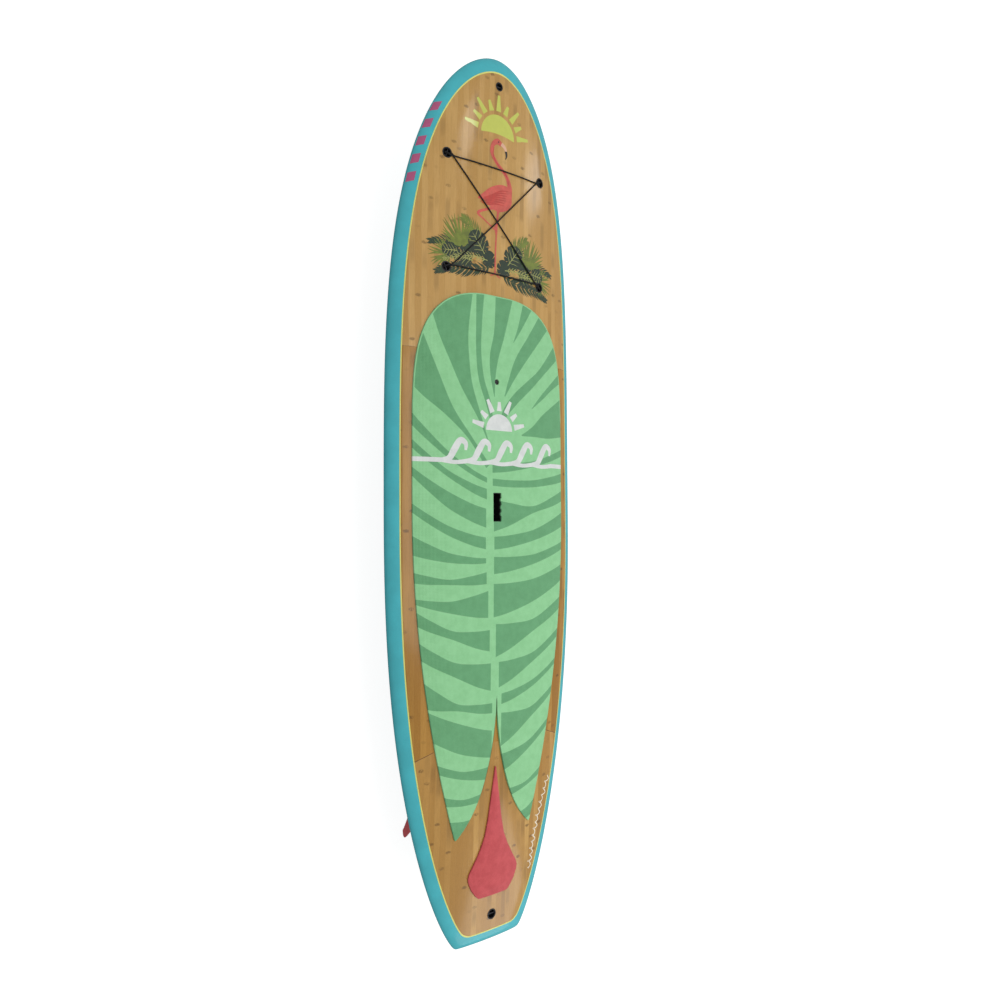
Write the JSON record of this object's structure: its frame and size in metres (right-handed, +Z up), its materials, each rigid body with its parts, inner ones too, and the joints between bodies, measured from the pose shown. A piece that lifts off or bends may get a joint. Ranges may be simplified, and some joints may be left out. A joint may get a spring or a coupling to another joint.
{
  "type": "stand up paddleboard",
  "caption": "Rigid stand up paddleboard with a wood veneer deck, foam deck pad, bungee net, carrying handle, vent plug, leash plug and a sliding centre fin with two side fins.",
  "frame": {"origin": "bottom centre of the bounding box, under the middle of the board's length, level with the centre fin's tip", "axes": "+Y towards the nose, +X towards the rider's right, +Z up out of the deck"},
  "size_m": [0.838, 3.2, 0.3667],
  "materials": {
    "foam_core": "matte expanded foam",
    "stringer_wood": "raw",
    "teal_laminate": "gloss clear coat",
    "bamboo_veneer": "satin clear coat",
    "pinline": "gloss",
    "green_foam": "matte, finely grooved",
    "coral_foam": "matte, finely grooved",
    "black_plastic": "satin moulded",
    "vent_plastic": "satin moulded",
    "black_rubber": "matte",
    "bar_steel": "satin",
    "screw_steel": "satin",
    "black_cord": "braided sheath",
    "coral_fin": "satin moulded"
  },
  "bodies": {
    "board": {"foam_core_left": "foam_core", "foam_core_right": "foam_core", "stringer": "stringer_wood", "bottom_shell": "teal_laminate", "deck_panel": "bamboo_veneer", "pinline_tape": "pinline", "deck_pad": "green_foam", "tail_pad": "coral_foam", "handle_well": "black_plastic", "handle_grip": "black_plastic", "vent_housing": "black_plastic", "nose_plug_cup": "black_plastic", "leash_plug_cup": "black_plastic", "nose_plug_bar": "bar_steel", "leash_plug_bar": "bar_steel", "bungee_cord": "black_cord", "centre_fin_box": "black_plastic", "side_fin_box_left": "black_plastic", "side_fin_box_right": "black_plastic", "side_fin_left": "coral_fin", "side_fin_right": "coral_fin", "side_fin_screw_left": "screw_steel", "side_fin_screw_right": "screw_steel", "anchor_cup_front_left": "black_plastic", "anchor_bar_front_left": "bar_steel", "anchor_cup_front_right": "black_plastic", "anchor_bar_front_right": "bar_steel", "anchor_cup_rear_left": "black_plastic", "anchor_bar_rear_left": "bar_steel", "anchor_cup_rear_right": "black_plastic", "anchor_bar_rear_right": "bar_steel"},
    "centre_fin": {"centre_fin": "coral_fin", "centre_fin_pin": "screw_steel", "fin_nut_plate": "screw_steel"},
    "fin_washer": {"fin_washer": "screw_steel"},
    "fin_screw": {"fin_screw": "screw_steel"},
    "vent_oring": {"vent_oring": "black_rubber"},
    "vent_screw": {"vent_screw": "vent_plastic"}
  },
  "joints": [
    {"name": "centre_fin_slide", "type": "slide", "parent": "board", "child": "centre_fin", "axis": [0, 0.9992, -0.0394], "range_m": [-0.03, 0.03]},
    {"name": "fin_washer_lift", "type": "slide", "parent": "centre_fin", "child": "fin_washer", "axis": [0, -0.0394, -0.9992], "range_m": [0, 0.0035]},
    {"name": "fin_screw_turn", "type": "hinge", "parent": "fin_washer", "child": "fin_screw", "pos_m": [0, -1.19206, 0.22207], "axis": [0, -0.0394, -0.9992], "range_deg": [0, 1800]},
    {"name": "vent_ring_lift", "type": "slide", "parent": "board", "child": "vent_oring", "axis": [0, 0, 1], "range_m": [0, 0.006]},
    {"name": "vent_screw_turn", "type": "hinge", "parent": "vent_oring", "child": "vent_screw", "pos_m": [0, 0.415, 0.33156], "axis": [0, 0, 1], "range_deg": [0, 1440]}
  ],
  "couplings": [
    {"joint": "fin_screw_turn", "follows": "fin_washer_lift", "rad_per_m": 8975.9},
    {"joint": "vent_screw_turn", "follows": "vent_ring_lift", "rad_per_m": 4188.7}
  ]
}
